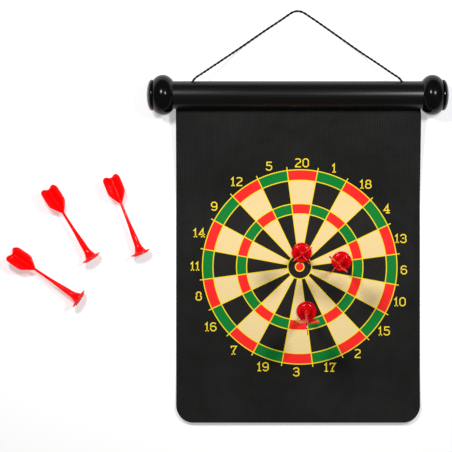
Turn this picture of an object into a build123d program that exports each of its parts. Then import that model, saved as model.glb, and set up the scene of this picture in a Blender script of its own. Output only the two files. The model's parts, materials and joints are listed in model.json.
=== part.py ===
"""A roll-up magnetic dartboard with six magnetic darts, laid out flat on its back.

X runs along the tube, Y up the board and Z out of the board's face. Everything rests on the
plane Z = 0, and the origin is under the centre of the dartboard print. Millimetres throughout.
"""
from build123d import *
from math import acos, atan2, cos, radians, sin, sqrt, tan
import os

# ---------------------------------------------------------------- driving dimensions
# Board sheet, a flexible magnetic laminate
mat_left = -142.6
mat_right = 138.0
mat_bottom = -179.3
mat_thickness = 0.8
mat_corner_radius = 20.0
fold_y = 31.0  # where the flat sheet ends and the strip that lifts towards the tube starts

# Housing tube, which lies on its two ball knobs
tube_outer_radius = 16.0
tube_bore_radius = 14.6
tube_axis_y = 196.6
knob_radius = 23.3
tube_axis_z = knob_radius
knob_gap_left = -145.7  # the knobs' inner rims, as seen along the tube
knob_gap_right = 138.8
tube_in_knob = 4.0  # how far each end of the tube reaches into its knob

# Slot in the tube, measured round from straight up towards the board
slot_middle_angle = 123.0
slot_height = 12.0
slot_left = -145.0
slot_right = 138.4

# Cord holes, measured round from straight up away from the board
cord_hole_angle = 65.3
cord_hole_radius = 1.9
cord_hole_left = -123.85
cord_hole_right = 115.55

# Winding spindle and the turns of the board on it
rod_radius = 4.0
rod_flat_depth = 1.4
turn_inner_radius = 5.2
turn_outer_radius = 6.0
turn_clearance = 0.3
clamp_width = 5.0
clamp_thickness = 0.8
clamp_screw_radius = 1.0
clamp_head_radius = 1.8
clamp_head_depth = 0.7
clamp_screw_depth = 4.5
clamp_screw_count = 5
clamp_screw_spacing = 62.0
tab_overlap = 0.6  # how far the clamped tab runs into the wound turn

# Ball knobs: ellipsoids cut off flat at both ends, with a recess that runs on the tube
knob_length = 23.3
knob_centre = 11.4
knob_half_axis = 16.8
knob_recess_depth = 4.2
knob_running_gap = 0.08
rod_end = 13.0  # the rod's end, measured out from the knob's inner rim
screw_seat = 18.1
cap_pocket_radius = 7.0
cap_plug_length = 1.4
cap_radius = 17.75
cap_rim = 0.8
cap_dome = 5.8
knob_screw_radius = 2.0
knob_screw_hole_radius = 2.2
knob_screw_grip = 9.0
knob_screw_head_radius = 3.6
knob_screw_head_height = 2.4
drive_slot_width = 1.0
drive_slot_depth = 1.1
washer_radius = 6.0
washer_thickness = 1.0

# Hanging cord, a limp two-strand twist
cord_radius = 1.15
knot_radius = 2.0
knot_flat_share = 0.85  # how far out the flat on each knot is, as a share of its radius
cord_route = [
    (-125.00, 208.43, 28.85),
    (-121.60, 214.60, 31.20),
    (-113.20, 220.30, 26.20),
    (-98.00, 231.60, 14.70),
    (-72.00, 250.20, 2.95),
    (-41.50, 271.80, 1.20),
    (-20.50, 285.60, 1.20),
    (-2.60, 298.30, 1.20),
    (15.60, 286.20, 1.20),
    (37.50, 270.90, 1.20),
    (67.50, 249.20, 2.95),
    (91.00, 231.90, 14.70),
    (105.00, 220.30, 26.20),
    (113.30, 214.60, 31.20),
    (116.70, 208.43, 28.85),
]
corner_share = 0.45  # how much of the shorter run each rounded corner uses

# Darts: a flanged plastic moulding with four vanes, and a disc magnet in its face
flange_radius = 11.5
flange_thickness = 2.0
flange_edge_radius = 0.8
magnet_radius = 8.0
magnet_thickness = 2.3
magnet_proud = 1.0
magnet_gap = 0.05
collar_radius = 9.0  # a raised ring of the moulding round the magnet
collar_height = 0.8
barrel_outline = [(6.6, 2.0), (6.0, 4.0), (4.3, 8.0), (3.7, 11.5), (3.2, 21.0), (1.9, 40.0), (1.5, 61.0)]
vane_radius = 13.4
vane_start = 61.5
vane_full = 75.0
dart_end = 95.7
tail_notch = 2.0
vane_front_round = 4.0
vane_tail_round = 5.0
vane_thickness = 0.8

# Darts standing on the board: where the face is, how far the tail leans over, and the vanes' turn
standing_darts = [
    ((2.2, 16.6), (-3.6, -0.9), 36.0),
    ((48.1, 6.6), (-10.6, -1.8), 48.5),
    ((7.8, -51.0), (-4.2, -9.0), 3.0),
]
# Darts lying beside the board: where the face is and which way the tail points
lying_darts = [
    ((-253.3, -36.9), (-0.830, 0.558)),
    ((-239.2, 9.9), (-0.532, 0.847)),
    ((-182.8, 15.6), (-0.370, 0.929)),
]
lying_vane_turn = 45.0
rest_gap = 0.02  # kept between a dart and what it rests on
quarter_arc = 1 - sqrt(0.5)  # from a quarter round's corner to its middle, as a share of its radius

# ---------------------------------------------------------------- worked out from the above
mat_width = mat_right - mat_left
mat_middle = (mat_left + mat_right) / 2
tube_left = knob_gap_left - tube_in_knob
tube_right = knob_gap_right + tube_in_knob
axis_point = Vector(0, tube_axis_y, tube_axis_z)
spindle_axis = Axis(axis_point, (1, 0, 0))

# The board leaves the floor, rises straight through the slot and meets the wound turns' underside.
run_slope = 7.7
run_offset = turn_outer_radius + turn_clearance + mat_thickness / 2
run_rise = tube_axis_z - mat_thickness / 2 - run_offset / cos(radians(run_slope))
run_start_y = tube_axis_y - run_rise / tan(radians(run_slope))


def across(x):
    """The plane across the tube at x: its own x runs along Y and its own y runs along Z."""
    return Plane(origin=(x, tube_axis_y, tube_axis_z), x_dir=(0, 1, 0), z_dir=(1, 0, 0))


def out_of_tube(x, angle):
    """The plane on the tube's axis at x, facing out at an angle from up and away from the board."""
    facing = (0, sin(radians(angle)), cos(radians(angle)))
    return Plane(origin=(x, tube_axis_y, tube_axis_z), x_dir=(1, 0, 0), z_dir=facing)


def knob_end(side):
    """The plane for outlines turned about the tube's axis: x runs out from the knob's rim, y up."""
    rim = knob_gap_left if side < 0 else knob_gap_right
    return Plane(origin=(rim, tube_axis_y, tube_axis_z), x_dir=(side, 0, 0), z_dir=(0, -side, 0))


def write(piece, name):
    """Labels a finished piece and writes its STEP file."""
    piece.part.label = name
    export_step(piece.part, f"parts/{name}.step")


os.makedirs("parts", exist_ok=True)

# ---------------------------------------------------------------- housing tube
with BuildPart() as housing_tube:
    with BuildSketch(across(tube_left)):
        Circle(tube_outer_radius)
        Circle(tube_bore_radius, mode=Mode.SUBTRACT)
    extrude(amount=tube_right - tube_left)
    with BuildSketch(out_of_tube((slot_left + slot_right) / 2, -slot_middle_angle)):
        SlotOverall(slot_right - slot_left, slot_height)
    extrude(amount=2 * tube_outer_radius, mode=Mode.SUBTRACT)
    for hole_x in (cord_hole_left, cord_hole_right):
        with BuildSketch(out_of_tube(hole_x, cord_hole_angle)):
            Circle(cord_hole_radius)
        extrude(amount=2 * tube_outer_radius, mode=Mode.SUBTRACT)
write(housing_tube, "housing_tube")

# ---------------------------------------------------------------- board
with BuildPart() as mat_sheet:
    with BuildSketch(Plane.XY):
        with Locations((mat_middle, (mat_bottom + fold_y) / 2)):
            Rectangle(mat_width, fold_y - mat_bottom)
    extrude(amount=mat_thickness)
    fillet(mat_sheet.edges().filter_by(Axis.Z).group_by(Axis.Y)[0], mat_corner_radius)
write(mat_sheet, "mat_sheet")

with BuildPart() as mat_ramp:
    with BuildSketch(Plane.XY):
        with Locations((mat_middle, (fold_y + run_start_y) / 2)):
            Rectangle(mat_width, run_start_y - fold_y)
    extrude(amount=mat_thickness)
write(mat_ramp, "mat_ramp")

with BuildPart() as mat_run:
    with BuildSketch(Plane(origin=(mat_left, 0, 0), x_dir=(0, 1, 0), z_dir=(1, 0, 0))):
        with BuildLine():
            rise = (tube_axis_y - run_start_y) * tan(radians(run_slope))
            Polyline(
                (run_start_y, 0),
                (tube_axis_y, rise),
                (tube_axis_y, rise + mat_thickness),
                (run_start_y, mat_thickness),
                close=True,
            )
        make_face()
    extrude(amount=mat_width)
write(mat_run, "mat_run")

# ---------------------------------------------------------------- spindle
flat_z = rod_radius - rod_flat_depth
strip_face = flat_z + mat_thickness + clamp_thickness
screw_plane = out_of_tube(mat_middle, 180).offset(strip_face)
screw_places = GridLocations(clamp_screw_spacing, 0, clamp_screw_count, 1)
with BuildPart() as spindle_rod:
    with BuildSketch(across(knob_gap_left - rod_end)):
        Circle(rod_radius)
    extrude(amount=knob_gap_right - knob_gap_left + 2 * rod_end)
    with BuildSketch(across(mat_left)):
        with Locations((0, -rod_radius)):
            Rectangle(2 * rod_radius, 2 * rod_flat_depth)
    extrude(amount=mat_width, mode=Mode.SUBTRACT)
    for side in (-1, 1):
        with BuildSketch(Plane(knob_end(side).origin, z_dir=(side, 0, 0)).offset(rod_end)):
            Circle(knob_screw_radius)
        extrude(amount=-knob_screw_grip, mode=Mode.SUBTRACT)
    with BuildSketch(screw_plane):
        with screw_places:
            Circle(clamp_screw_radius)
    extrude(amount=-clamp_screw_depth, mode=Mode.SUBTRACT)
write(spindle_rod, "spindle_rod")

with BuildPart() as mat_anchor_turn:
    with BuildSketch(across(mat_left)):
        Circle(turn_outer_radius)
        Circle(turn_inner_radius, mode=Mode.SUBTRACT)
        with Locations((-(turn_inner_radius - clamp_width / 2) / 2, -flat_z - mat_thickness / 2)):
            Rectangle(clamp_width / 2 + turn_inner_radius - tab_overlap, mat_thickness)
    extrude(amount=mat_width)
    with BuildSketch(screw_plane):
        with screw_places:
            Circle(clamp_screw_radius)
    extrude(amount=-clamp_screw_depth, mode=Mode.SUBTRACT)
write(mat_anchor_turn, "mat_anchor_turn")

with BuildPart() as mat_clamp_strip:
    with BuildSketch(across(mat_left)):
        with Locations((0, -flat_z - mat_thickness - clamp_thickness / 2)):
            Rectangle(clamp_width, clamp_thickness)
    extrude(amount=mat_width)
    with BuildSketch(screw_plane):
        with screw_places:
            Circle(clamp_screw_radius)
    extrude(amount=-clamp_screw_depth, mode=Mode.SUBTRACT)
    with BuildSketch(screw_plane):
        with screw_places:
            Circle(clamp_head_radius)
    extrude(amount=-clamp_head_depth, taper=45, mode=Mode.SUBTRACT)
write(mat_clamp_strip, "mat_clamp_strip")

with BuildPart() as clamp_screws:
    with BuildSketch(screw_plane):
        with screw_places:
            Circle(clamp_head_radius)
    extrude(amount=-clamp_head_depth, taper=45)
    with BuildSketch(screw_plane):
        with screw_places:
            Circle(clamp_screw_radius)
    extrude(amount=-clamp_screw_depth)
write(clamp_screws, "clamp_screws")

# ---------------------------------------------------------------- knobs and what holds them
for side, end in ((-1, "left"), (1, "right")):
    turned = knob_end(side)

    # The outline of half an ellipsoid cut at both ends, then the recess, socket, hole and cap pocket.
    with BuildPart() as knob:
        with BuildSketch(turned):
            with Locations((knob_centre, 0)):
                Ellipse(knob_half_axis, knob_radius)
            with Locations((knob_length / 2, knob_radius)):
                Rectangle(knob_length, 2 * knob_radius, mode=Mode.INTERSECT)
            recess_radius = tube_outer_radius + knob_running_gap
            Rectangle(2 * knob_recess_depth, 2 * recess_radius, mode=Mode.SUBTRACT)
            Rectangle(2 * rod_end, 2 * rod_radius, mode=Mode.SUBTRACT)
            Rectangle(2 * screw_seat, 2 * knob_screw_hole_radius, mode=Mode.SUBTRACT)
            with Locations((knob_length, 0)):
                Rectangle(2 * (knob_length - screw_seat), 2 * cap_pocket_radius, mode=Mode.SUBTRACT)
        revolve(axis=spindle_axis)
    write(knob, f"{end}_knob")

    # A plug that pushes into the knob, a short rim and a shallow dome.
    with BuildPart() as end_cap:
        with BuildSketch(turned):
            with Locations((knob_length + cap_rim, 0)):
                Ellipse(cap_dome, cap_radius)
            with Locations((knob_length + cap_rim + cap_dome / 2, cap_radius / 2)):
                Rectangle(cap_dome, cap_radius, mode=Mode.INTERSECT)
            with Locations((knob_length + cap_rim / 2, cap_radius / 2)):
                Rectangle(cap_rim, cap_radius)
            with Locations((knob_length - cap_plug_length / 2, cap_pocket_radius / 2)):
                Rectangle(cap_plug_length, cap_pocket_radius)
        revolve(axis=spindle_axis)
    write(end_cap, f"{end}_end_cap")

    with BuildPart() as screw_washer:
        with BuildSketch(turned):
            with Locations((screw_seat + washer_thickness / 2, 0)):
                Rectangle(washer_thickness, 2 * washer_radius)
                Rectangle(washer_thickness, 2 * knob_screw_hole_radius, mode=Mode.SUBTRACT)
        revolve(axis=spindle_axis)
    write(screw_washer, f"{end}_screw_washer")

    head_seat = screw_seat + washer_thickness
    screw_tip = rod_end - knob_screw_grip
    with BuildPart() as knob_screw:
        with BuildSketch(turned):
            with Locations(((screw_tip + head_seat) / 2, knob_screw_radius / 2)):
                Rectangle(head_seat - screw_tip, knob_screw_radius)
            with Locations((head_seat + knob_screw_head_height / 2, knob_screw_head_radius / 2)):
                Rectangle(knob_screw_head_height, knob_screw_head_radius)
        revolve(axis=spindle_axis)
        head_face = Plane(turned.origin, x_dir=(0, 1, 0), z_dir=(side, 0, 0)).offset(
            head_seat + knob_screw_head_height
        )
        with BuildSketch(head_face):
            Rectangle(2 * knob_screw_head_radius, drive_slot_width)
            Rectangle(drive_slot_width, 2 * knob_screw_head_radius)
        extrude(amount=-drive_slot_depth, mode=Mode.SUBTRACT)
    write(knob_screw, f"{end}_knob_screw")

# ---------------------------------------------------------------- hanging cord
route = [Vector(*point) for point in cord_route]
runs = [after - before for before, after in zip(route, route[1:])]
corner_radii = []
for before, after in zip(runs, runs[1:]):
    half_turn = radians(before.get_angle(after)) / 2
    corner_radii.append(corner_share * min(before.length, after.length) / tan(half_turn))
print("cord corner radii, mm:", [round(radius, 1) for radius in corner_radii])
print("cord runs, mm:", [round(run.length, 1) for run in runs])

with BuildPart() as hanging_cord:
    with BuildLine() as cord_line:
        FilletPolyline(*route, radius=corner_radii)
    with BuildSketch(Plane(route[0], z_dir=runs[0])):
        Circle(cord_radius)
    sweep(path=cord_line.wires()[0])
print("cord length, mm:", round(cord_line.wires()[0].length, 1))
write(hanging_cord, "hanging_cord")

# Each knot is a ball with a flat where the cord runs into it.
knot_flat = knot_flat_share * knot_radius
with BuildPart() as cord_knots:
    for cord_end, inwards in ((route[0], -runs[0]), (route[-1], runs[-1])):
        knot_plane = Plane(cord_end, z_dir=inwards).offset(knot_flat)
        with Locations(knot_plane):
            Sphere(knot_radius)
        with BuildSketch(Plane(cord_end, z_dir=-inwards)):
            Circle(knot_radius)
        extrude(amount=knot_radius, mode=Mode.SUBTRACT)
write(cord_knots, "cord_knots")


# ---------------------------------------------------------------- darts
def outline_plane(place):
    """The plane through a dart's axis: its own x runs out from the axis and its own y towards the tail."""
    return Plane(place.origin, x_dir=place.x_dir, z_dir=-place.y_dir)


def turned_about_itself(place, angle):
    """The same place turned about its own Z by an angle in degrees."""
    x_dir = place.x_dir.rotate(Axis((0, 0, 0), place.z_dir), angle)
    return Plane(place.origin, x_dir=x_dir, z_dir=place.z_dir)


def moulding(place):
    """The flange, barrel and shaft turned in one, then the two crossed plates that make four vanes."""
    recess_depth = magnet_thickness - magnet_proud
    recess_radius = magnet_radius + magnet_gap
    rim_centre = flange_radius - flange_edge_radius
    arc_inset = quarter_arc * vane_tail_round
    with BuildPart() as dart_body:
        with BuildSketch(outline_plane(place)):
            with BuildLine():
                Polyline(
                    (0, recess_depth),
                    (recess_radius, recess_depth),
                    (recess_radius, -collar_height),
                    (collar_radius, -collar_height),
                    (collar_radius, 0),
                    (rim_centre, 0),
                )
                ThreePointArc(
                    (rim_centre, 0),
                    (flange_radius, flange_edge_radius),
                    (rim_centre, 2 * flange_edge_radius),
                )
                Polyline(
                    (rim_centre, 2 * flange_edge_radius),
                    *barrel_outline,
                    (barrel_outline[-1][0], dart_end - tail_notch),
                    (0, dart_end - tail_notch),
                    (0, recess_depth),
                )
            make_face()
        revolve(axis=Axis(place.origin, place.z_dir))
        for quarter_turn in (0, 90):
            with BuildSketch(outline_plane(turned_about_itself(place, quarter_turn))):
                with BuildLine():
                    Line((0, vane_start), (vane_radius, vane_full))
                    Line((vane_radius, vane_full), (vane_radius, dart_end - vane_tail_round))
                    ThreePointArc(
                        (vane_radius, dart_end - vane_tail_round),
                        (vane_radius - arc_inset, dart_end - arc_inset),
                        (vane_radius - vane_tail_round, dart_end),
                    )
                    Line((vane_radius - vane_tail_round, dart_end), (0, dart_end - tail_notch))
                    Line((0, dart_end - tail_notch), (0, vane_start))
                make_face()
                mirror(about=Plane.YZ)
                fillet(vertices().group_by(Axis.Y)[1], vane_front_round)
            extrude(amount=vane_thickness / 2, both=True)
    return dart_body


def magnet(place):
    """The disc that sits in the flange's recess and stands a little proud of it."""
    with BuildPart() as dart_magnet:
        with BuildSketch(place.offset(-magnet_proud)):
            Circle(magnet_radius)
        extrude(amount=magnet_thickness)
    return dart_magnet


dart_places = []
for (face_x, face_y), (lean_x, lean_y), vane_turn in standing_darts:
    upright = Vector(lean_x, lean_y, sqrt(dart_end**2 - lean_x**2 - lean_y**2)).normalized()
    lifted = magnet_radius * sin(acos(upright.Z)) + magnet_proud * upright.Z
    face = Vector(face_x, face_y, mat_thickness + rest_gap + lifted)
    across_dart = Vector(0, 1, 0).cross(upright)
    dart_places.append(turned_about_itself(Plane(face, x_dir=across_dart, z_dir=upright), vane_turn))
for (face_x, face_y), (tail_x, tail_y) in lying_darts:
    vane_reach = (vane_radius + vane_thickness / 2) * sin(radians(lying_vane_turn))
    dip = atan2(flange_radius - vane_reach, dart_end - vane_tail_round)
    along = Vector(tail_x * cos(dip), tail_y * cos(dip), -sin(dip))
    sideways = Vector(tail_y, -tail_x, 0)
    face = Vector(face_x, face_y, flange_radius + rest_gap + flange_edge_radius * sin(dip))
    dart_places.append(turned_about_itself(Plane(face, x_dir=sideways, z_dir=along), lying_vane_turn))

for number, place in enumerate(dart_places, 1):
    write(moulding(place), f"dart_{number}_body")
    write(magnet(place), f"dart_{number}_magnet")
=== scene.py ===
"""The looks of the roll-up magnetic dartboard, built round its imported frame.

Lengths are in metres unless a name says otherwise. The frame is the part's own: X along the
tube, Y up the board, Z out of the printed face, origin under the centre of the print.
"""
import json
from math import atan, ceil, cos, pi, radians, sin

import bmesh
import bpy
import numpy as np
from mathutils import Matrix, Vector


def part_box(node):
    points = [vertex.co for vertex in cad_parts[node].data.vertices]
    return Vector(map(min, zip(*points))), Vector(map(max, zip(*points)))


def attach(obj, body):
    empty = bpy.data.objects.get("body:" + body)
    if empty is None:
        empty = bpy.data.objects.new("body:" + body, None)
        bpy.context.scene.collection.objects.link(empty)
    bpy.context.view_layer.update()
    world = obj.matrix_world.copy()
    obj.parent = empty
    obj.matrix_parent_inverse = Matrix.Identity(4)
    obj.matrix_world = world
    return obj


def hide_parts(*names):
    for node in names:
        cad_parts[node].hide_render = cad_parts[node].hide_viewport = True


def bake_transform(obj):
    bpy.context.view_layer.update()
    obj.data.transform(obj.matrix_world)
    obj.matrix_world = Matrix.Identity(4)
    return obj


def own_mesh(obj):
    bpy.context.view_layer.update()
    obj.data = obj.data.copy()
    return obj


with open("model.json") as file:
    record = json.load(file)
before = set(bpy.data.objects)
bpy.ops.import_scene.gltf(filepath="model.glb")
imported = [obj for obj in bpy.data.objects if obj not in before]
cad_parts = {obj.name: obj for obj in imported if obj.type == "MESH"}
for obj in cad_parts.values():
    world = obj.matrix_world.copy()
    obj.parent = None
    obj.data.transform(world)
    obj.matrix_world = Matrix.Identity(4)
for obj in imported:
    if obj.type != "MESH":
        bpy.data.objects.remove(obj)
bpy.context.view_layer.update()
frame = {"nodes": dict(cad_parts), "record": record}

scene = bpy.context.scene
MM = 0.001

# ---------------------------------------------------------------- sizes of the print
PRINT_TURN = radians(1.5)  # the print sits slightly clockwise on the board
SECTORS = 20
BULL_RADIUS = 5.0 * MM
RINGS = [BULL_RADIUS, 13.8 * MM, 61.3 * MM, 73.0 * MM, 100.1 * MM, 112.3 * MM]
TICK_END = 116.3 * MM
LINE_WIDTH = 1.15 * MM
NUMBER_RADIUS = 121.6 * MM
NUMBERS = [20, 1, 18, 4, 13, 6, 10, 15, 2, 17, 3, 19, 7, 16, 8, 11, 14, 9, 12, 5]
# The print isn't quite regular: how far some numbers stand off their even places, in mm.
NUMBER_SHIFTS_MM = {
    20: (-1.0, -1.3), 1: (-1.3, -0.5), 18: (2.0, -1.0), 4: (0.1, -1.9), 13: (0.1, -1.8), 6: (-1.3, -0.3),
    10: (1.1, 0.3), 15: (1.0, 0.1), 2: (-2.0, 0.2), 17: (0.5, 0.7), 3: (-0.8, 0.4), 19: (-1.8, -0.6),
    7: (-2.1, 0.3), 16: (-2.5, -0.3), 11: (0.6, -2.3), 14: (-1.4, -1.3), 9: (-2.3, -4.0), 12: (-3.8, -1.7),
    8: (0.0, 0.8), 5: (-1.1, -0.2),
}
DIGIT_HEIGHT = 10.4 * MM
DIGIT_WIDTH = 7.4 * MM
ONE_WIDTH = 4.4 * MM
DIGIT_GAP = 1.5 * MM
STROKE = 1.3 * MM
INK_HEIGHT = 0.06 * MM


def linear(red, green, blue):
    """A colour given as it looks on a screen, 0 to 255, in the units that shaders use."""
    shares = [c / 255 for c in (red, green, blue)]
    return tuple(((c + 0.055) / 1.055) ** 2.4 if c > 0.0393 else c / 12.92 for c in shares)


# ================================================================ materials
SOCKETS = {"specular": "Specular IOR Level", "metallic": "Metallic"}


class Shader:
    """A material's node tree, with short ways to add maths, noise, mixes and bumps."""

    def __init__(self, name, colour, roughness, **sockets):
        self.material = bpy.data.materials.new(name)
        self.material.use_nodes = True
        self.tree = self.material.node_tree
        self.surface = self.tree.nodes["Principled BSDF"]
        self.surface.inputs["Base Color"].default_value = (*colour, 1)
        self.surface.inputs["Roughness"].default_value = roughness
        for socket, value in sockets.items():
            self.surface.inputs[SOCKETS[socket]].default_value = value
        self.height = None

    def add(self, kind, **settings):
        node = self.tree.nodes.new(kind)
        for setting, value in settings.items():
            setattr(node, setting, value)
        return node

    def feed(self, socket, value):
        if isinstance(value, bpy.types.NodeSocket):
            self.tree.links.new(value, socket)
        elif isinstance(value, tuple) and len(value) == 3 and socket.type == "RGBA":
            socket.default_value = (*value, 1)
        else:
            socket.default_value = value

    def maths(self, operation, *values):
        node = self.add("ShaderNodeMath", operation=operation)
        for socket, value in zip(node.inputs, values):
            self.feed(socket, value)
        return node.outputs[0]

    def mix(self, share, first, second):
        node = self.add("ShaderNodeMix", data_type="RGBA")
        self.feed(node.inputs["Factor"], share)
        self.feed(node.inputs["A"], first)
        self.feed(node.inputs["B"], second)
        return node.outputs["Result"]

    def spread(self, value, low, high, to_low, to_high):
        node = self.add("ShaderNodeMapRange", interpolation_type="SMOOTHSTEP")
        for name, number in zip(("From Min", "From Max", "To Min", "To Max"), (low, high, to_low, to_high)):
            node.inputs[name].default_value = number
        self.feed(node.inputs["Value"], value)
        return node.outputs[0]

    def noise(self, scale, detail=2.0, place=None, stretch=(1, 1, 1)):
        """Noise with about scale bumps to the metre."""
        if place is None:
            place = self.add("ShaderNodeTexCoord").outputs["Object"]
        mapping = self.add("ShaderNodeMapping")
        mapping.inputs["Scale"].default_value = stretch
        self.feed(mapping.inputs["Vector"], place)
        node = self.add("ShaderNodeTexNoise")
        node.inputs["Scale"].default_value = scale
        node.inputs["Detail"].default_value = detail
        self.feed(node.inputs["Vector"], mapping.outputs[0])
        return node.outputs["Fac"]

    def bump(self, height, distance, strength=1.0):
        node = self.add("ShaderNodeBump")
        node.inputs["Strength"].default_value = strength
        node.inputs["Distance"].default_value = distance
        self.feed(node.inputs["Height"], height)
        if self.height is not None:
            self.feed(node.inputs["Normal"], self.height)
        self.height = node.outputs[0]
        self.feed(self.surface.inputs["Normal"], self.height)

    def put(self, socket, value):
        self.feed(self.surface.inputs[socket], value)


CREAM = linear(245, 219, 156)
RED = linear(255, 40, 36)
GREEN = linear(0, 128, 48)
YELLOW = linear(255, 226, 36)
MAT_BLACK = linear(20, 20, 19)
PRINT_BLACK = linear(28, 26, 24)


WARP_PITCH = 1.25 * MM
WEFT_PITCH = 1.05 * MM
RIB_PITCH = 2.6 * MM
RIB_WANDER = 7.0 * MM


def add_cloth(shader, place, across, along, colour):
    """A fine woven face: a crossed weave and twill ribs as bumps, with a faint painted sheen along the rib
    crests too.
    """
    warp = shader.maths("SINE", shader.maths("MULTIPLY", across, 2 * pi / WARP_PITCH))
    weft = shader.maths("SINE", shader.maths("MULTIPLY", along, 2 * pi / WEFT_PITCH))
    weave = shader.maths("MULTIPLY", warp, weft)
    grain = shader.noise(900, 3, place)
    # The ribs run straight up near the tube and lean more towards the board's lower end.
    lean = shader.maths("MULTIPLY_ADD", along, -0.9, 0.25)
    slant = shader.maths("MULTIPLY_ADD", along, lean, across)
    wander = shader.maths("MULTIPLY_ADD", shader.noise(9, 2, place), RIB_WANDER, slant)
    ribs = shader.maths("SINE", shader.maths("MULTIPLY", wander, 2 * pi / RIB_PITCH))
    shader.bump(shader.maths("MULTIPLY_ADD", weave, 0.35, grain), 0.10 * MM, 0.55)
    shader.bump(ribs, 0.05 * MM, 0.5)
    cloud = shader.noise(14, 3, place)
    light = shader.maths("MULTIPLY_ADD", weave, 0.05, 1.0)
    light = shader.maths("MULTIPLY_ADD", shader.maths("SUBTRACT", grain, 0.5), 0.5, light)
    light = shader.maths("MULTIPLY_ADD", shader.maths("SUBTRACT", cloud, 0.5), 0.12, light)
    scaled = shader.add("ShaderNodeVectorMath", operation="SCALE")
    shader.feed(scaled.inputs[0], colour)
    shader.feed(scaled.inputs["Scale"], light)
    # Painted sheen along the rib crests: the same small amount is added everywhere, so that it shows on the
    # black only.
    crests = shader.maths("MULTIPLY_ADD", ribs, 0.5, 0.5)
    painted_rib_sheen = shader.maths("MULTIPLY", crests, shader.spread(cloud, 0.3, 0.7, 0.002, 0.010))
    peaks = shader.maths("MAXIMUM", shader.maths("SUBTRACT", grain, 0.55), 0.0)
    speckle = shader.maths("MULTIPLY", peaks, 0.05)
    lift = shader.add("ShaderNodeVectorMath", operation="ADD")
    shader.feed(lift.inputs[0], scaled.outputs[0])
    shader.feed(lift.inputs[1], shader.maths("ADD", painted_rib_sheen, speckle))
    shader.put("Base Color", lift.outputs[0])


def board_face_material():
    """The printed cloth face: the sectors, rings, bull and lines, all worked out from the place."""
    shader = Shader("printed_board_face", MAT_BLACK, 0.62, specular=0.10)
    place = shader.add("ShaderNodeAttribute", attribute_name="rest_place").outputs["Vector"]
    split = shader.add("ShaderNodeSeparateXYZ")
    shader.feed(split.inputs[0], place)
    across, along = split.outputs["X"], split.outputs["Y"]
    squares = shader.maths("MULTIPLY_ADD", along, along, shader.maths("MULTIPLY", across, across))
    radius = shader.maths("SQRT", squares)
    bearing = shader.maths("ARCTAN2", across, along)
    turns = shader.maths("MULTIPLY_ADD", bearing, SECTORS / (2 * pi), 0.5 - PRINT_TURN * SECTORS / (2 * pi))
    part = shader.maths("FRACT", turns)
    even = shader.maths("LESS_THAN", shader.maths("FLOORED_MODULO", turns, 2.0), 1.0)

    def within(low, high):
        past_low = shader.maths("GREATER_THAN", radius, low)
        return shader.maths("MULTIPLY", past_low, shader.maths("LESS_THAN", radius, high))

    cream_or_black = shader.mix(even, PRINT_BLACK, CREAM)
    red_or_green = shader.mix(even, GREEN, RED)
    rings = shader.maths("ADD", within(RINGS[2], RINGS[3]), within(RINGS[4], RINGS[5]))
    colour = shader.mix(within(RINGS[1], RINGS[5]), MAT_BLACK, cream_or_black)
    colour = shader.mix(rings, colour, red_or_green)
    colour = shader.mix(within(-1.0, RINGS[1]), colour, PRINT_BLACK)
    colour = shader.mix(within(-1.0, RINGS[0]), colour, RED)
    edge = shader.maths("MINIMUM", part, shader.maths("SUBTRACT", 1.0, part))
    beside = shader.maths("MULTIPLY", shader.maths("MULTIPLY", edge, radius), 2 * pi / SECTORS)
    on_spoke = shader.maths("LESS_THAN", beside, LINE_WIDTH / 2)
    lines = shader.maths("MULTIPLY", on_spoke, within(RINGS[1], TICK_END))
    for ring in RINGS:
        off = shader.maths("ABSOLUTE", shader.maths("SUBTRACT", radius, ring))
        lines = shader.maths("MAXIMUM", lines, shader.maths("LESS_THAN", off, LINE_WIDTH / 2))
    colour = shader.mix(lines, colour, YELLOW)
    add_cloth(shader, place, across, along, colour)
    roughness = shader.spread(shader.noise(60, 2, place), 0.35, 0.65, 0.56, 0.70)
    shader.put("Roughness", roughness)
    return shader.material


def board_back_material():
    """The plain magnetic rubber back, dark and slightly chalky."""
    shader = Shader("rubber_back", linear(44, 40, 37), 0.7, specular=0.2)
    shader.put("Base Color", shader.mix(shader.noise(30, 4), linear(34, 31, 29), linear(56, 51, 47)))
    shader.bump(shader.noise(1500, 2), 0.05 * MM, 0.4)
    return shader.material


def ink_material():
    """Yellow screen-printed ink, which takes a little of the cloth's grain."""
    shader = Shader("yellow_ink", YELLOW, 0.55, specular=0.2)
    shader.put("Base Color", shader.mix(shader.noise(700, 2), linear(255, 214, 24), linear(255, 236, 60)))
    shader.bump(shader.noise(1100, 2), 0.04 * MM, 0.4)
    return shader.material


def tube_material():
    """Extruded gloss black plastic with faint lengthwise draw lines."""
    shader = Shader("gloss_black_tube", linear(6, 6, 6), 0.29, specular=0.30)
    draw_lines = shader.noise(700, 2, stretch=(0.015, 1, 1))
    shader.put("Roughness", shader.spread(draw_lines, 0.3, 0.7, 0.25, 0.33))
    shader.bump(draw_lines, 0.02 * MM, 0.35)
    shader.put("Base Color", shader.mix(shader.noise(9, 3), linear(4, 4, 4), linear(10, 10, 9)))
    return shader.material


def knob_material():
    """Moulded gloss black plastic, with a very slight orange peel and a few rubbed patches."""
    shader = Shader("gloss_black_knob", linear(6, 6, 6), 0.14, specular=0.18)
    shader.put("Roughness", shader.spread(shader.noise(120, 4), 0.35, 0.75, 0.10, 0.22))
    shader.bump(shader.noise(260, 2), 0.02 * MM, 0.25)
    shader.put("Base Color", shader.mix(shader.noise(40, 3), linear(4, 4, 4), linear(9, 9, 9)))
    return shader.material


def cord_material():
    """Black braided yarn with loose fibres."""
    shader = Shader("black_cord", linear(20, 19, 18), 0.85, specular=0.2)
    fibres = shader.noise(2600, 3, stretch=(0.25, 1, 1))
    shader.put("Base Color", shader.mix(fibres, linear(8, 7, 7), linear(26, 25, 24)))
    shader.bump(fibres, 0.12 * MM, 0.8)
    return shader.material


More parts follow.
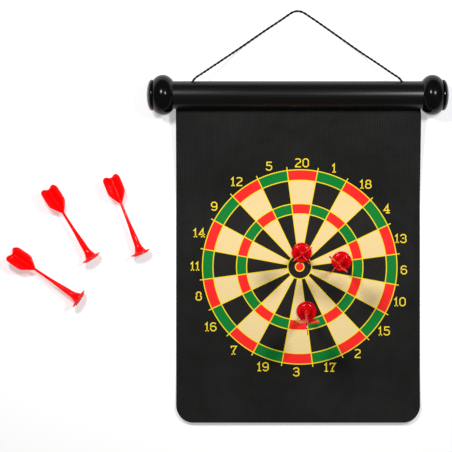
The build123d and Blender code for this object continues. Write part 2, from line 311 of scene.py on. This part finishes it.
def dart_material(name, dark, light, glow):
    """Clear red moulded plastic: glossy, with light that soaks a little way in; a glow above nought is a
    painted glow, as if more light fell on it.
    """
    shader = Shader(name, dark, 0.13, specular=0.25)
    shader.surface.inputs["Emission Color"].default_value = (*light, 1)
    shader.surface.inputs["Emission Strength"].default_value = glow
    shader.surface.inputs["Subsurface Weight"].default_value = 0.12
    shader.surface.inputs["Subsurface Radius"].default_value = (1.0, 0.12, 0.10)
    shader.surface.inputs["Subsurface Scale"].default_value = 2.5 * MM
    shader.put("Base Color", shader.mix(shader.noise(160, 3), dark, light))
    shader.put("Roughness", shader.spread(shader.noise(300, 3), 0.4, 0.7, 0.10, 0.22))
    shader.bump(shader.noise(420, 2), 0.03 * MM, 0.2)
    return shader.material


def magnet_material():
    """Sintered ferrite: near black, slightly metallic and grainy."""
    shader = Shader("ferrite_magnet", linear(48, 47, 48), 0.5, metallic=0.55)
    grain = shader.noise(1800, 4)
    shader.put("Base Color", shader.mix(grain, linear(30, 30, 31), linear(66, 65, 66)))
    shader.bump(grain, 0.06 * MM, 0.5)
    return shader.material


def steel_material():
    """Zinc-plated steel with fine turning marks."""
    shader = Shader("zinc_plated_steel", linear(176, 178, 180), 0.32, metallic=1.0)
    marks = shader.noise(1400, 2, stretch=(1, 0.2, 0.2))
    shader.put("Roughness", shader.spread(marks, 0.3, 0.7, 0.24, 0.42))
    shader.put("Base Color", shader.mix(shader.noise(90, 3), linear(158, 160, 162), linear(194, 196, 198)))
    shader.bump(marks, 0.02 * MM, 0.4)
    return shader.material


FACE = board_face_material()
BACK = board_back_material()
INK = ink_material()
CORD = cord_material()
# The standing darts take the plain red; the loose ones take a brighter copy that glows a little, a painted
# glow standing in for brighter light on them.
DART = dart_material("gloss_red_plastic", linear(196, 0, 12), linear(238, 2, 20), 0.0)
LOOSE_DART_PAINTED_GLOW = dart_material("gloss_red_plastic_painted_glow", linear(250, 2, 4), linear(255, 4, 6), 0.28)


# ================================================================ mesh helpers
def mesh_object(name, vertices, faces, materials, face_materials=None, sharp_angle=40):
    """A smooth-shaded object whose edges sharper than an angle in degrees stay sharp."""
    mesh = bpy.data.meshes.new(name)
    mesh.from_pydata([tuple(v) for v in vertices], [], faces)
    for material in materials:
        mesh.materials.append(material)
    if face_materials is not None:
        mesh.polygons.foreach_set("material_index", face_materials)
    mesh.update()
    mesh.shade_smooth()
    mesh.set_sharp_from_angle(angle=radians(sharp_angle))
    piece = bpy.data.objects.new(name, mesh)
    scene.collection.objects.link(piece)
    return piece


def face_outwards(piece):
    """Turns every face of a closed mesh outwards."""
    work = bmesh.new()
    work.from_mesh(piece.data)
    bmesh.ops.recalc_face_normals(work, faces=work.faces)
    work.to_mesh(piece.data)
    work.free()


# ================================================================ board
sheet_low, sheet_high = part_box("mat_sheet")
run_low, run_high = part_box("mat_run")
tube_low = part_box("housing_tube")[0]
THICKNESS = sheet_high.z
SEAM_Y = run_low.y
SLOPE = (run_high.z - THICKNESS) / (run_high.y - SEAM_Y)
EASE = 11 * MM  # the board bends up gently over this much on each side of the seam
CORNER = 20 * MM
CURL_START = -105 * MM
CURL_HEIGHT = 5 * MM
ROW = 2.5 * MM
COLUMNS = 64
RIGHT_SPREAD = 0.7 * MM  # the printed sheet stands out this much to the right, up to just below the slot
SPREAD_END = 9 * MM


def board_rise(y):
    """How high the board's underside is, y metres up the board as seen from above."""
    if y < CURL_START:
        return CURL_HEIGHT * ((CURL_START - y) / (CURL_START - sheet_low.y)) ** 2
    if y < SEAM_Y - EASE:
        return 0.0
    if y < SEAM_Y + EASE:
        return SLOPE * (y - SEAM_Y + EASE) ** 2 / (4 * EASE)
    return SLOPE * (y - SEAM_Y)


# The distance along the board from the print's centre, and y for that distance.
_ys = np.arange(sheet_low.y - 0.01, run_high.y + 0.02, 0.5 * MM)
_rises = np.array([board_rise(y) for y in _ys])
_lengths = np.concatenate([[0], np.cumsum(np.hypot(np.diff(_ys), np.diff(_rises)))])
_lengths -= np.interp(0, _ys, _lengths)


def right_edge(y):
    """Where the board's right edge is, y metres up: it narrows just before it goes into the slot."""
    short = min(1, max(0, (tube_low.y + MM - y) / SPREAD_END))
    return sheet_high.x + RIGHT_SPREAD * short * short * (3 - 2 * short)


def along_board(y):
    return float(np.interp(y, _ys, _lengths))


def y_at(length):
    return float(np.interp(length, _lengths, _ys))


def board_rows(start, end):
    """Evenly spaced places up the board, with the rounded bottom corners' own rows first."""
    rows = []
    if start <= sheet_low.y + MM:
        rows = [(start + CORNER * (1 - cos(a)), CORNER * (1 - sin(a))) for a in np.linspace(0, pi / 2, 13)]
        start += CORNER
    steps = ceil((end - start) / ROW)
    inner = [(start + (end - start) * i / steps, 0.0) for i in range(steps + 1)]
    return rows + inner[1 if rows else 0:]


def board_piece(name, start, end):
    """A stretch of the board as a closed sheet, with where each point lies on the flat print."""
    rows = board_rows(start, end)
    vertices, rest = [], []
    for face_height in (THICKNESS, 0.0):
        for y, inset in rows:
            low, high = sheet_low.x + inset, right_edge(y) - inset
            for x in np.linspace(low, high, COLUMNS + 1):
                vertices.append((x, y, board_rise(y) + face_height))
                rest.append((x, along_board(y), 0.0))
    wide, tall = COLUMNS + 1, len(rows)
    under = wide * tall
    faces, indices = [], []
    for j in range(tall - 1):
        for i in range(COLUMNS):
            a = j * wide + i
            faces.append((a, a + 1, a + wide + 1, a + wide))
            faces.append((under + a, under + a + wide, under + a + wide + 1, under + a + 1))
            indices += [0, 1]
    border = [(i, i + 1) for i in range(COLUMNS)]
    border += [(j * wide + COLUMNS, (j + 1) * wide + COLUMNS) for j in range(tall - 1)]
    border += [((tall - 1) * wide + i + 1, (tall - 1) * wide + i) for i in range(COLUMNS)]
    border += [((j + 1) * wide, j * wide) for j in range(tall - 1)]
    for a, b in border:
        faces.append((b, a, under + a, under + b))
        indices.append(1)
    piece = mesh_object(name, vertices, faces, [FACE, BACK], indices)
    attribute = piece.data.attributes.new("rest_place", "FLOAT_VECTOR", "POINT")
    attribute.data.foreach_set("vector", np.array(rest, np.float32).ravel())
    return piece


# ---------------------------------------------------------------- numbers
# Strokes of each digit in a unit box, and whether the stroke closes on itself.
DIGITS = {
    "0": [([(0.30, 0), (0.70, 0), (1, 0.2), (1, 0.8), (0.70, 1), (0.30, 1), (0, 0.8), (0, 0.2)], True)],
    "1": [([(0.0, 0.80), (0.55, 1), (0.55, 0)], False), ([(0.1, 0), (1, 0)], False)],
    "2": [([(0.08, 0.95), (0.30, 1), (0.70, 1), (0.96, 0.86), (0.96, 0.62), (0.35, 0.34),
            (0.04, 0.10), (0.04, 0), (0.96, 0)], False)],
    "3": [([(0.02, 0.86), (0.28, 1), (0.72, 1), (0.96, 0.84), (0.96, 0.66), (0.74, 0.53),
            (0.38, 0.53)], False),
          ([(0.70, 0.53), (1, 0.40), (1, 0.16), (0.72, 0), (0.28, 0), (0.0, 0.14)], False)],
    "4": [([(0.72, 0), (0.72, 1), (0.0, 0.30), (1, 0.30)], False), ([(0.45, 0), (1, 0)], False)],
    "5": [([(0.92, 1), (0.12, 1), (0.12, 0.60), (0.70, 0.62), (1, 0.46), (1, 0.17), (0.72, 0),
            (0.26, 0), (0, 0.14)], False)],
    "6": [([(0.90, 0.90), (0.68, 1), (0.30, 1), (0, 0.8), (0, 0.2), (0.28, 0), (0.72, 0), (1, 0.18),
            (1, 0.42), (0.72, 0.58), (0.28, 0.58), (0.05, 0.46)], False)],
    "7": [([(0.02, 0.84), (0.02, 1), (1, 1), (0.42, 0.36), (0.42, 0)], False),
          ([(0.16, 0), (0.70, 0)], False)],
    "8": [([(0.32, 0.54), (0.08, 0.68), (0.08, 0.86), (0.30, 1), (0.70, 1), (0.92, 0.86),
            (0.92, 0.68), (0.68, 0.54)], True),
          ([(0.32, 0.54), (0, 0.40), (0, 0.16), (0.28, 0), (0.72, 0), (1, 0.16), (1, 0.40),
            (0.68, 0.54)], True)],
    "9": [([(0.10, 0.10), (0.32, 0), (0.70, 0), (1, 0.2), (1, 0.8), (0.72, 1), (0.28, 1), (0, 0.82),
            (0, 0.58), (0.28, 0.42), (0.72, 0.42), (0.95, 0.54)], False)],
}


def ribbon_sides(points, closed):
    """The two sides of a stroke of even width, mitred at its corners and square at its ends."""
    count = len(points)
    left, right = [], []
    for i, point in enumerate(points):
        before = points[i - 1] if i or closed else None
        after = points[(i + 1) % count] if i < count - 1 or closed else None
        ways = []
        if before is not None:
            ways.append((point - before).normalized())
        if after is not None:
            ways.append((after - point).normalized())
        sides = [Vector((-w.y, w.x)) for w in ways]
        mitre = sides[0] if len(sides) == 1 else (sides[0] + sides[1]) / (1 + sides[0].dot(sides[1]))
        end = Vector((0, 0))
        if before is None:
            end = -ways[0] * STROKE / 2
        if after is None:
            end = ways[-1] * STROKE / 2
        left.append(point + end + mitre * STROKE / 2)
        right.append(point + end - mitre * STROKE / 2)
    return left, right


def stroke_mesh(points, closed, vertices, faces):
    """Adds one stroke as a thin closed slab lying on the board."""
    left, right = ribbon_sides(points, closed)
    first, count = len(vertices), len(points)
    for lift in (INK_HEIGHT, -INK_HEIGHT):
        for side in (left, right):
            for p in side:
                y = y_at(p.y)
                vertices.append((p.x, y, board_rise(y) + THICKNESS + lift))
    tl, tr, bl, br = (first + k * count for k in range(4))
    for i in range(count if closed else count - 1):
        n = (i + 1) % count
        faces.append((tl + i, tr + i, tr + n, tl + n))
        faces.append((bl + i, bl + n, br + n, br + i))
        faces.append((tl + i, tl + n, bl + n, bl + i))
        faces.append((tr + n, tr + i, br + i, br + n))
    if not closed:
        z = count - 1
        faces.append((tl, bl, br, tr))
        faces.append((tl + z, tr + z, br + z, bl + z))


def number_strokes(index):
    """The strokes of one number, in place on the flat print."""
    bearing = PRINT_TURN + 2 * pi * index / SECTORS
    centre = Vector((sin(bearing), cos(bearing))) * NUMBER_RADIUS
    centre += Vector(NUMBER_SHIFTS_MM[NUMBERS[index]]) * MM
    text = str(NUMBERS[index])
    widths = [ONE_WIDTH if digit == "1" else DIGIT_WIDTH for digit in text]
    x = centre.x - (sum(widths) + DIGIT_GAP * (len(text) - 1)) / 2
    strokes = []
    for digit, width in zip(text, widths):
        for points, closed in DIGITS[digit]:
            inner = [Vector((STROKE / 2 + px * (width - STROKE), (py - 0.5) * (DIGIT_HEIGHT - STROKE)))
                     for px, py in points]
            strokes.append(([Vector((x + p.x, centre.y + p.y)) for p in inner], closed))
        x += width + DIGIT_GAP
    return strokes, centre.y


def numbers_piece(name, low, high):
    """The numbers whose centres lie between two places up the board."""
    vertices, faces = [], []
    for index in range(SECTORS):
        strokes, middle = number_strokes(index)
        if low <= middle < high:
            for points, closed in strokes:
                stroke_mesh(points, closed, vertices, faces)
    piece = mesh_object(name, vertices, faces, [INK], sharp_angle=30)
    face_outwards(piece)
    return piece


def make_board():
    """The board and its numbers: the flat stretch bends up towards the seam, and the sloping one goes with
    the tube.
    """
    face = board_piece("board_face", sheet_low.y, SEAM_Y)
    run = board_piece("board_run", SEAM_Y, run_high.y)
    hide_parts("mat_sheet", "mat_ramp")
    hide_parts("mat_run")
    face_numbers = numbers_piece("printed_numbers_lower", -1, along_board(SEAM_Y))
    run_numbers = numbers_piece("printed_numbers_upper", along_board(SEAM_Y), 1)
    for piece in (face, face_numbers):
        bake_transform(piece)
    for piece in (run, run_numbers):
        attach(piece, "tube")
        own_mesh(piece)


# ================================================================ hanging cord
CORD_DIAMETER = 2.3 * MM
TWIST_LENGTH = 11 * MM  # one whole turn of the two strands
STRAND_SIDES = 10
STRAND_RADIUS = 0.42 * CORD_DIAMETER
STRAND_OFF_CENTRE = 0.16 * CORD_DIAMETER
CORD_STEP = 0.7 * MM
CORD_ROUTE_MM = [
    (-125.00, 208.43, 28.85),
    (-121.60, 214.60, 31.20),
    (-113.20, 220.30, 26.20),
    (-98.00, 231.60, 14.70),
    (-72.00, 250.20, 2.95),
    (-41.50, 271.80, 1.20),
    (-20.50, 285.60, 1.20),
    (-2.60, 298.30, 1.20),
    (15.60, 286.20, 1.20),
    (37.50, 270.90, 1.20),
    (67.50, 249.20, 2.95),
    (91.00, 231.90, 14.70),
    (105.00, 220.30, 26.20),
    (113.30, 214.60, 31.20),
    (116.70, 208.43, 28.85),
]


def smooth_line(route):
    """Points along a smooth NURBS line with the route's points as its control points."""
    curve = bpy.data.curves.new("cord_line", "CURVE")
    curve.dimensions = "3D"
    curve.resolution_u = 24
    spline = curve.splines.new("NURBS")
    spline.points.add(len(route) - 1)
    for point, place in zip(spline.points, route):
        point.co = (*place, 1)
    spline.order_u = 3
    spline.use_endpoint_u = True
    holder = bpy.data.objects.new("cord_line", curve)
    scene.collection.objects.link(holder)
    bpy.context.view_layer.update()
    mesh = bpy.data.meshes.new_from_object(holder.evaluated_get(bpy.context.evaluated_depsgraph_get()))
    line = [v.co.copy() for v in mesh.vertices]
    bpy.data.meshes.remove(mesh)
    bpy.data.objects.remove(holder)
    bpy.data.curves.remove(curve)
    return line


def evenly(line, step):
    """The same line with its points a set step apart."""
    places = np.array(line)
    lengths = np.concatenate([[0], np.cumsum(np.linalg.norm(np.diff(places, axis=0), axis=1))])
    wanted = np.linspace(0, lengths[-1], ceil(lengths[-1] / step) + 1)
    return [Vector([np.interp(w, lengths, places[:, k]) for k in range(3)]) for w in wanted], lengths[-1]


def make_cord():
    """Two strands twisted round each other, along the cord's line."""
    line, length = evenly(smooth_line([[c * MM for c in p] for p in CORD_ROUTE_MM]), CORD_STEP)
    vertices, faces = [], []
    ways = [(line[min(i + 1, len(line) - 1)] - line[max(i - 1, 0)]).normalized() for i in range(len(line))]
    side = ways[0].orthogonal().normalized()
    frames = []
    for i, way in enumerate(ways):
        side = (side - way * side.dot(way)).normalized()
        frames.append((side.copy(), way.cross(side)))
    step = length / (len(line) - 1)
    for strand in (0, 1):
        first = len(vertices)
        for i, (point, (one, two)) in enumerate(zip(line, frames)):
            turn = 2 * pi * i * step / TWIST_LENGTH + pi * strand
            centre = point + (one * cos(turn) + two * sin(turn)) * STRAND_OFF_CENTRE
            for k in range(STRAND_SIDES):
                a = 2 * pi * k / STRAND_SIDES
                vertices.append(centre + (one * cos(a) + two * sin(a)) * STRAND_RADIUS)
        for i in range(len(line) - 1):
            for k in range(STRAND_SIDES):
                a, b = first + i * STRAND_SIDES + k, first + i * STRAND_SIDES + (k + 1) % STRAND_SIDES
                faces.append((a, b, b + STRAND_SIDES, a + STRAND_SIDES))
        last = first + (len(line) - 1) * STRAND_SIDES
        faces.append(tuple(first + k for k in reversed(range(STRAND_SIDES))))
        faces.append(tuple(last + k for k in range(STRAND_SIDES)))
    piece = mesh_object("twisted_cord", vertices, faces, [CORD], sharp_angle=60)
    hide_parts("hanging_cord")
    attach(piece, "tube")


# ================================================================ darts
# Outline of the turned part: distance out from the axis and back from the flange's face, in mm.
RECESS_MM = [(0.0, 1.3), (8.05, 1.3), (8.05, -0.65), (8.2, -0.8), (8.8, -0.8), (9.0, -0.65), (9.0, 0.0)]
RIM_MM = [(10.7, 0.0), (11.15, 0.12), (11.43, 0.42), (11.5, 0.85), (11.4, 1.3), (11.15, 1.62), (10.8, 1.78),
          (10.4, 1.78), (10.05, 1.6), (9.7, 1.36), (9.2, 1.25)]
BARREL_MM = [(8.3, 1.4), (7.1, 2.0), (6.2, 3.6), (5.35, 5.6), (4.45, 7.8), (3.9, 10.0), (3.62, 12.5),
             (3.42, 16.0), (3.2, 21.0), (2.7, 28.0), (2.2, 35.0), (1.85, 42.0), (1.65, 50.0), (1.5, 61.0),
             (1.4, 75.0), (1.3, 92.8)]
TURN_STEPS = 56
CURVE_STEPS = 4
VANE_RADIUS_MM = 13.4
VANE_START_MM = 61.5
VANE_FULL_MM = 75.0
DART_END_MM = 95.7
NOTCH_MM = 2.2
VANE_HALF_MM = 0.4
VANE_EDGE_MM = 0.18
MAGNET_PROUD_MM = 1.0
VANE_CURVE_STEPS = 3
TIP_REACH_MM = 13.1  # points further out than this, on the vanes' widest stretch, are on their tips
DARTS = 6
STANDING_DARTS = 3  # the first darts stand on the board; the others lie beside it, in a brighter copy of the red with a painted glow


def through(points, steps):
    """A smooth curve through points, as a list (Catmull-Rom)."""
    p = [2 * np.array(points[0]) - points[1], *map(np.array, points), 2 * np.array(points[-1]) - points[-2]]
    out = []
    for a, b, c, d in zip(p, p[1:], p[2:], p[3:]):
        for t in np.arange(steps) / steps:
            bend, twist = 2 * a - 5 * b + 4 * c - d, 3 * b - a - 3 * c + d
            out.append(0.5 * (2 * b + (c - a) * t + bend * t**2 + twist * t**3))
    return out + [p[-2]]


def turned_object():
    """The flange, barrel and shaft, turned about the dart's axis."""
    outline = [np.array(p) for p in RECESS_MM + RIM_MM] + through(BARREL_MM, CURVE_STEPS)
    outline.append(np.array([0.0, BARREL_MM[-1][1] + 0.5]))
    vertices, faces, rings = [], [], []
    for r, z in outline:
        if r == 0:
            rings.append([len(vertices)])
            vertices.append((0, 0, z * MM))
            continue
        rings.append(list(range(len(vertices), len(vertices) + TURN_STEPS)))
        for k in range(TURN_STEPS):
            a = 2 * pi * k / TURN_STEPS
            vertices.append((r * cos(a) * MM, r * sin(a) * MM, z * MM))
    for low, high in zip(rings, rings[1:]):
        for k in range(TURN_STEPS):
            n = (k + 1) % TURN_STEPS
            quad = (low[k % len(low)], low[n % len(low)], high[n % len(high)], high[k % len(high)])
            faces.append(tuple(dict.fromkeys(quad)))
    piece = mesh_object("dart_turning", vertices, faces, [DART])
    face_outwards(piece)
    return piece


def vane_outline():
    """One side of a pair of vanes, from the shaft out and round to the tail's notch, in mm."""
    shoulder = [(VANE_RADIUS_MM - 1.9, VANE_FULL_MM - 2.3), (VANE_RADIUS_MM - 0.75, VANE_FULL_MM - 0.3),
                (VANE_RADIUS_MM - 0.15, VANE_FULL_MM + 2.2), (VANE_RADIUS_MM, VANE_FULL_MM + 5.5)]
    lobe = [(VANE_RADIUS_MM, DART_END_MM - 5.5), (VANE_RADIUS_MM - 0.5, DART_END_MM - 3.0),
            (VANE_RADIUS_MM - 1.9, DART_END_MM - 1.0), (VANE_RADIUS_MM - 4.4, DART_END_MM),
            (VANE_RADIUS_MM - 7.4, DART_END_MM - 0.35), (VANE_RADIUS_MM - 10.6, DART_END_MM - 1.7),
            (0.0, DART_END_MM - NOTCH_MM)]
    curves = through(shoulder, VANE_CURVE_STEPS) + through(lobe, VANE_CURVE_STEPS)
    return [(1.3, VANE_START_MM)] + [tuple(p) for p in curves]


def vane_pair(turned):
    """A thin plate across the axis with softened edges: two of the four vanes."""
    right = vane_outline()
    outline = right + [(-x, z) for x, z in reversed(right[:-1])]
    work = bmesh.new()
    near = [work.verts.new((x * MM, -VANE_HALF_MM * MM, z * MM)) for x, z in outline]
    plate = work.faces.new(near)
    grown = bmesh.ops.extrude_face_region(work, geom=[plate])
    moved = [v for v in grown["geom"] if isinstance(v, bmesh.types.BMVert)]
    bmesh.ops.translate(work, verts=moved, vec=(0, 2 * VANE_HALF_MM * MM, 0))
    bmesh.ops.recalc_face_normals(work, faces=work.faces)
    rims = [e for e in work.edges if len({round(v.co.y, 6) for v in e.verts}) == 1]
    bmesh.ops.bevel(work, geom=rims, offset=VANE_EDGE_MM * MM, segments=2, profile=0.5, affect="EDGES")
    bmesh.ops.rotate(work, verts=work.verts, cent=(0, 0, 0), matrix=Matrix.Rotation(turned, 3, "Z"))
    mesh = bpy.data.meshes.new("dart_vanes")
    work.to_mesh(mesh)
    work.free()
    piece = bpy.data.objects.new("dart_vanes", mesh)
    scene.collection.objects.link(piece)
    return piece


def dart_mesh():
    """The whole moulding as one closed mesh: the turning joined with both pairs of vanes."""
    body = turned_object()
    plates = [vane_pair(0), vane_pair(pi / 2)]
    for plate in plates:
        union = body.modifiers.new("join", "BOOLEAN")
        union.operation = "UNION"
        union.solver = "EXACT"
        union.object = plate
    bpy.context.view_layer.update()
    mesh = bpy.data.meshes.new_from_object(body.evaluated_get(bpy.context.evaluated_depsgraph_get()))
    mesh.name = "dart_moulding"
    for piece in (body, *plates):
        bpy.data.objects.remove(piece)
    mesh.materials.clear()
    mesh.materials.append(DART)
    mesh.polygons.foreach_set("material_index", [0] * len(mesh.polygons))
    mesh.shade_smooth()
    mesh.set_sharp_from_angle(angle=radians(38))
    return mesh


def points_of(node):
    return np.array([v.co for v in frame["nodes"][node].data.vertices])


def dart_place(number):
    """Where a dart stands in the frame: its magnet gives the axis, its vane tips give the turn."""
    magnet = points_of(f"dart_{number}_magnet")
    body = points_of(f"dart_{number}_body")
    middle = (magnet.max(0) + magnet.min(0)) / 2
    axis = np.linalg.svd(magnet - magnet.mean(0), full_matrices=False)[2][2]
    if axis @ (body.mean(0) - middle) < 0:
        axis = -axis
    reach = (magnet - middle) @ axis
    middle = middle + axis * (reach.max() + reach.min()) / 2
    face = middle + axis * (MAGNET_PROUD_MM * MM - (reach.max() - reach.min()) / 2)
    one = np.cross(axis, [0.3, 0.5, 0.9])
    one /= np.linalg.norm(one)
    two = np.cross(axis, one)
    offset = body - face
    x, y, z = offset @ one, offset @ two, offset @ axis
    tips = (np.hypot(x, y) > TIP_REACH_MM * MM) & (z > VANE_FULL_MM * MM)
    turn = np.angle(np.exp(4j * np.arctan2(y[tips], x[tips])).mean()) / 4
    side = one * cos(turn) + two * sin(turn)
    columns = [side, np.cross(axis, side), axis, face]
    return Matrix([[c[row] for c in columns] for row in range(3)] + [[0, 0, 0, 1]])


def make_darts():
    shared = dart_mesh()
    for number in range(1, DARTS + 1):
        piece = bpy.data.objects.new(f"dart_{number}_moulding", shared)
        scene.collection.objects.link(piece)
        piece.matrix_world = dart_place(number)
        piece.material_slots[0].link = "OBJECT"
        # The loose darts get the brighter red with the painted glow.
        piece.material_slots[0].material = DART if number <= STANDING_DARTS else LOOSE_DART_PAINTED_GLOW
        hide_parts(f"dart_{number}_body")
        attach(piece, f"dart_{number}")


# ================================================================ finishes of the frame's own nodes
def finish_nodes():
    """The frame's own nodes keep their shapes and get their real finishes."""
    by_slot = {
        "tube": tube_material(), "knob": knob_material(), "end_cap": knob_material(), "cord": CORD,
        "board": BACK, "dart": DART, "magnet": magnet_material(), "steel": steel_material(),
    }
    for entry in frame["record"]["subparts"]:
        node = frame["nodes"][entry["node"]]
        node.data.materials.clear()
        node.data.materials.append(by_slot[entry["material_slot"]])


# ================================================================ floor, light and camera
CAMERA_PLACE = Vector((-85.1, 47.2, 1900)) * MM
FRAME_WIDTH = 522 * MM
SENSOR = 36.0


ROOM_LIGHT = 0.15
SOFTBOX_SIZE = (0.15, 0.15)
LIGHTS_AIM = (0, 0.05, 0)
FLOOR_GLOW = 0.38
FLOOR_REACH = 6.0
FLOOR_DROP = 0.05 * MM


def make_floor():
    shader = Shader("pale_floor", (0.80, 0.80, 0.80), 0.9)
    shader.surface.inputs["Specular IOR Level"].default_value = 0.1
    shader.surface.inputs["Emission Color"].default_value = (1, 1, 1, 1)
    shader.surface.inputs["Emission Strength"].default_value = FLOOR_GLOW
    corners = [(x * FLOOR_REACH, y * FLOOR_REACH, 0) for x, y in ((-1, -1), (1, -1), (1, 1), (-1, 1))]
    floor = mesh_object("studio_floor", corners, [(0, 1, 2, 3)], [shader.material])
    floor.location.z = -FLOOR_DROP


def add_softbox(name, place, power):
    light = bpy.data.lights.new(name, "AREA")
    light.shape = "RECTANGLE"
    light.size, light.size_y = SOFTBOX_SIZE
    light.energy = power
    holder = bpy.data.objects.new(name, light)
    scene.collection.objects.link(holder)
    holder.location = place
    holder.rotation_euler = (Vector(LIGHTS_AIM) - Vector(place)).to_track_quat("-Z", "Y").to_euler()


def make_light():
    """Two softboxes either side of the tube, beyond its top, in a dim even room."""
    world = bpy.data.worlds.new("studio")
    scene.world = world
    world.use_nodes = True
    background = world.node_tree.nodes["Background"]
    background.inputs["Color"].default_value = (1, 1, 1, 1)
    background.inputs["Strength"].default_value = ROOM_LIGHT
    add_softbox("left_softbox", (-0.37, 0.43, 0.85), 5.5)
    add_softbox("right_softbox", (0.33, 0.32, 0.85), 4.4)


def make_camera():
    camera = bpy.data.cameras.new("camera")
    camera.sensor_width = SENSOR
    camera.lens = SENSOR * CAMERA_PLACE.z / FRAME_WIDTH
    holder = bpy.data.objects.new("camera", camera)
    scene.collection.objects.link(holder)
    holder.location = CAMERA_PLACE
    scene.camera = holder
    scene.view_settings.view_transform = "Standard"


make_camera()
make_cord()
make_board()
make_darts()
finish_nodes()
make_floor()
make_light()
